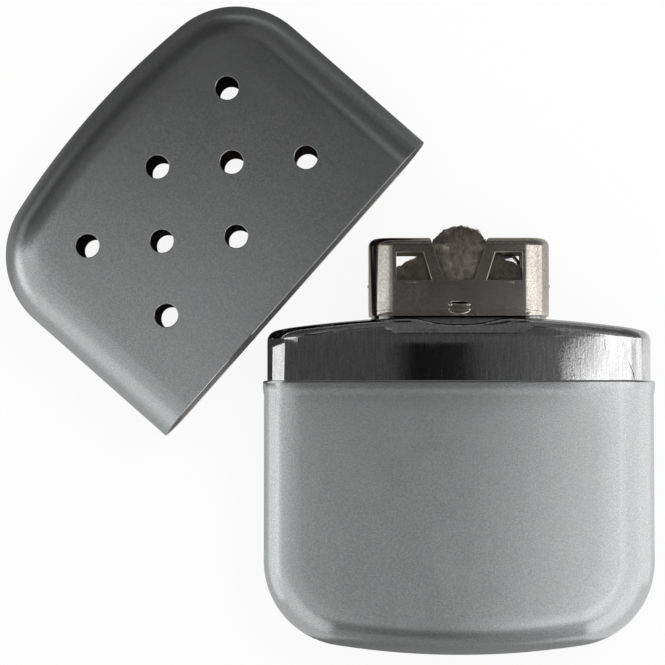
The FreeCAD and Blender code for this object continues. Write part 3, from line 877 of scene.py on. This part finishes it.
def lumpy(name, node, voxel, lump, depth, inset, easing=4, extras=()):
    """A soft body: the measured solid remeshed, drawn in a little and given uneven lumps, in mm.

    Easing counts the passes that smooth it, and extras are ellipsoids (centre, half sizes) to add."""
    shape = merged_copy(node)
    for centre, size in extras:
        middle = Matrix.Translation(Vector(centre) * mm)
        bmesh.ops.create_uvsphere(shape, u_segments=32, v_segments=16, radius=mm,
                                  matrix=middle @ Matrix.Diagonal((*size, 1)))
    piece = new_piece(name, shape, node)
    remesh = piece.modifiers.new("even_grid", "REMESH")
    remesh.mode = "VOXEL"
    remesh.voxel_size = voxel * mm
    settle(piece)
    ease = piece.modifiers.new("ease", "SMOOTH")
    ease.iterations = easing
    ease.factor = 0.5
    settle(piece)
    shape = bmesh.new()
    shape.from_mesh(piece.data)
    shape.normal_update()
    moved = []
    for vert in shape.verts:
        rough = noise.fractal(vert.co / mm / lump, *finer_lumps)
        moved.append(vert.co - vert.normal * (inset + depth * (0.5 + 0.5 * rough)) * mm)
    for vert, place in zip(shape.verts, moved):
        vert.co = place
    shape.to_mesh(piece.data)
    shape.free()
    piece.data.materials.clear()
    piece.data.materials.append(finishes[slot_of_node[node]])
    piece.data.shade_smooth()
    return piece


wool = lumpy("wool_core", "catalyst_wool", voxel=0.26, lump=1.1, depth=0.8, inset=0.05, easing=6,
             extras=tufts)
print("wool core", len(wool.data.polygons), "faces")

# %% Where the wool is
tuft_centre, tuft_reach = (0.8, 21.2), (4.9, 5.9)   # mm across and above the rim, and its reach
tuft_depth, bed_depth = 5.3, 4.55           # mm from the middle plane: the tuft, the wool in the cage
bed_foot, bed_top, bed_half = 12.5, 22.4, 12.3      # mm above the rim, and half the wool's width
bed_shoulder, bed_slope = 6.0, 0.58         # mm from the middle, and the fall beyond
ragged_share, ragged_rate = 0.25, 0.8       # how far the tuft's edge strays, and its bumps in a mm
ragged_slice = 3.1                          # any number: where the noise is sliced


def bed_top_at(x):
    """How far above the rim the wool reaches in the cage: high in the notch, falling to the ends."""
    return bed_top - bed_slope * max(abs(x) - bed_shoulder, 0)


def wool_depth(x, above):
    """How far the wool stands from the middle plane, or 0 where there is none."""
    slice_point = Vector((x * ragged_rate, above * ragged_rate, ragged_slice))
    ragged = 1.0 + ragged_share * noise.noise(slice_point)
    aside = (x - tuft_centre[0]) / tuft_reach[0]
    up_by = (above - tuft_centre[1]) / tuft_reach[1]
    round_share = aside ** 2 + up_by ** 2
    tuft = tuft_depth * math.sqrt(1 - round_share / ragged) if round_share < ragged else 0
    return max(tuft, bed_depth if bed_foot < above < bed_top_at(x) and abs(x) < bed_half else 0)


print("the tuft is", round(2 * wool_depth(*tuft_centre), 1), "mm thick at its middle")

# %% How a fibre runs
random.seed(11)
most_points, fewest_points = 8, 4
share_in_tuft = 0.6
sides = (1, 1, 1, -1)           # three fibres in front for each one behind
thinnest, deepest = 0.3, 5.2    # mm of wool under a fibre: none grows on less, none lies further out
lift_range, step_range = (-0.3, 0.1), (0.25, 0.6)   # mm: off the wool's surface, and between points
bend_spread = 0.22              # radians from one point to the next
root = Vector((0.4, 14.0))      # mm, the point that the tuft's fibres fan out from
tuft_across, tuft_up = (-4.8, 5.6), (16.8, 26.5)    # mm: where they start, from the middle and the rim
bed_across, bed_up = (3, 12), (14, 21.5)            # the same for the wool at either side
tuft_stray, bed_stray = (0.7, 0.5), 0.5             # how far the directions stray
bed_fall = -0.5                 # down for each step aside


def fibre_path():
    """The points of one gently bent fibre on the wool's front or back, or nothing if it is too short."""
    face = random.choice(sides)
    lift = random.uniform(*lift_range)
    if random.random() < share_in_tuft:
        place = Vector((random.uniform(*tuft_across), random.uniform(*tuft_up)))
        way = (place - root).normalized() + Vector([random.gauss(0, stray) for stray in tuft_stray])
    else:
        side = random.choice((-1, 1))
        place = Vector((side * random.uniform(*bed_across), random.uniform(*bed_up)))
        way = Vector((side, bed_fall + random.gauss(0, bed_stray)))
    way.normalize()
    step = random.uniform(*step_range)
    bend = random.gauss(0, bend_spread)
    points = []
    for _ in range(most_points):
        depth = wool_depth(*place)
        if depth < thinnest:
            break
        out = face * (min(depth, deepest) + lift)
        points.append(Vector((place.x, place.y + rim / mm, mid / mm + out)))
        place = place + way * step
        way = Vector((way.x - bend * way.y, way.y + bend * way.x)).normalized()
    return points if len(points) >= fewest_points else None


print("a fibre has", fewest_points, "to", most_points, "points")

# %% Loose strands in the windows
wisp_thickness = 0.8        # mm, how far a wisp's fibres stray to the front and back
wisp_wander = 0.08          # mm, how far one of its points strays
wisp_middle = 8.0           # mm above the floor


def wisp(path, width, count):
    """A loose strand: fibres that follow one path in mm, each a little to one side of it."""
    strands = []
    for _ in range(count):
        aside = Vector((random.gauss(0, width), random.gauss(0, width), random.gauss(0, wisp_thickness)))
        strand = []
        for x, y in path:
            stray = Vector((random.gauss(0, wisp_wander), random.gauss(0, wisp_wander), 0))
            strand.append(Vector((x, y, wisp_middle)) + aside + stray)
        strands.append(strand)
    return strands


# Each wisp's path in mm, its width in mm and its number of fibres: three at the right, one at the left.
wisps = (wisp(((10.6, 38.5), (10.55, 40.5), (10.45, 42.5), (10.3, 44.3), (9.6, 45.2)), 0.16, 60)
         + wisp(((6.6, 45.6), (7.6, 45.0), (8.4, 45.2), (9.4, 45.4)), 0.2, 60)
         + wisp(((7.2, 43.6), (8.0, 44.2), (8.5, 43.6), (9.2, 42.8)), 0.12, 40)
         + wisp(((-10.8, 42.9), (-9.9, 42.8), (-8.9, 43.2), (-8.0, 43.9), (-7.0, 44.3)), 0.16, 60))
print("fibres in the wisps:", len(wisps))

# %% Wool fibres
fibre_count, fibre_thickness = 3200, 0.035      # how many, and mm

curve_data = bpy.data.curves.new("fibres", "CURVE")
curve_data.dimensions = "3D"
curve_data.bevel_depth = fibre_thickness / 2 * mm
curve_data.bevel_resolution = 0
curve_data.resolution_u = 1
made = 0
while made < fibre_count:
    points = wisps[made] if made < len(wisps) else fibre_path()
    if points is None:
        continue
    spline = curve_data.splines.new("POLY")
    spline.points.add(len(points) - 1)
    for point, place in zip(spline.points, points):
        point.co = (*(place * mm), 1)
    made += 1
curve_object = add_object("fibres", curve_data)
fibre_data = as_it_looks(curve_object)
bpy.data.objects.remove(curve_object)
fibre_data.name = "wool_fibres"
fibre_data.materials.clear()
fibre_data.materials.append(glass_fibre)
fibre_data.shade_smooth()
fibres = add_object("wool_fibres", fibre_data)
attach(fibres, "burner")
print("fibres", made, "in", len(fibre_data.polygons), "faces")

# %% [markdown]
# ## Inside the tank
#
# Three layers of cotton wadding fill the case and hold the fuel, and a felt plug in the neck passes the
# vapour on. Nobody sees them until the burner comes off, and they are still soft and uneven there. Each
# is remeshed to an even grid and given lumps of a few millimetres.

# %% Wadding and felt
cotton_lumps, felt_lumps = (0.8, 3.5, 0.5), (0.35, 1.2, 0.25)   # mm: grid, lump and depth of a lump
pad_inset = 0.05                                                # mm
cotton_fill, felt_fill, wool_fill = 0.4, 0.9, 0.5               # from 0, slack, to 1, tight

for name, node, lumps, fill in (("cotton_back", "wadding_back", cotton_lumps, cotton_fill),
                                ("cotton_core", "wadding_core", cotton_lumps, cotton_fill),
                                ("cotton_front", "wadding_front", cotton_lumps, cotton_fill),
                                ("felt_plug", "neck_felt", felt_lumps, felt_fill)):
    pad = lumpy(name, node, *lumps, pad_inset)
    print(name, len(pad.data.polygons), "faces")

# %% [markdown]
# ## The shoulder
#
# Polished, because the lid slides over it. Below the burner the front and back slope back in a shallow
# hollow that guides the sheet up to the neck. A press leaves no hard line where a hollow meets a flat
# face. So cuts are made close to that line on both sides, and smooth shading turns the light over
# between them, while everything beyond the cuts stays as flat as it is.

# %% Shoulder
hollow_foot = 7.65      # mm above the rim
hollow_blend = 0.55     # mm on each side of it over which the light turns
shoulder_cuts = (hollow_foot - hollow_blend, hollow_foot + hollow_blend,
                 hollow_foot + 1.2, hollow_foot - 1.6, 2.0, 0.4)    # mm above the rim
shoulder_crease = 50    # degrees

shape = merged_copy("tank_shoulder")
for above in shoulder_cuts:
    cut(shape, (0, rim + above * mm, 0), (0, 1, 0))
shoulder = new_piece("shoulder", shape, "tank_shoulder")
shoulder.data.shade_smooth()
shoulder.data.set_sharp_from_angle(angle=math.radians(shoulder_crease))
print("shoulder:", len(shoulder.data.polygons), "faces")

# %% [markdown]
# ## Parts that keep their measured shape
#
# The solder seam, the collar round the neck and the slotted floor under the wool are small, plain and
# mostly hidden. Their solids are already right, so they only get their finish.

# %% Finishes for the plain parts
for node in ("seam_solder", "neck_collar", "burner_floor"):
    for slot in frame["nodes"][node].material_slots:
        slot.material = finishes[slot_of_node[node]]
    print(node, "keeps its shape and gets", finishes[slot_of_node[node]].name)

# %% Colours as they are
bpy.context.scene.view_settings.view_transform = "Standard"
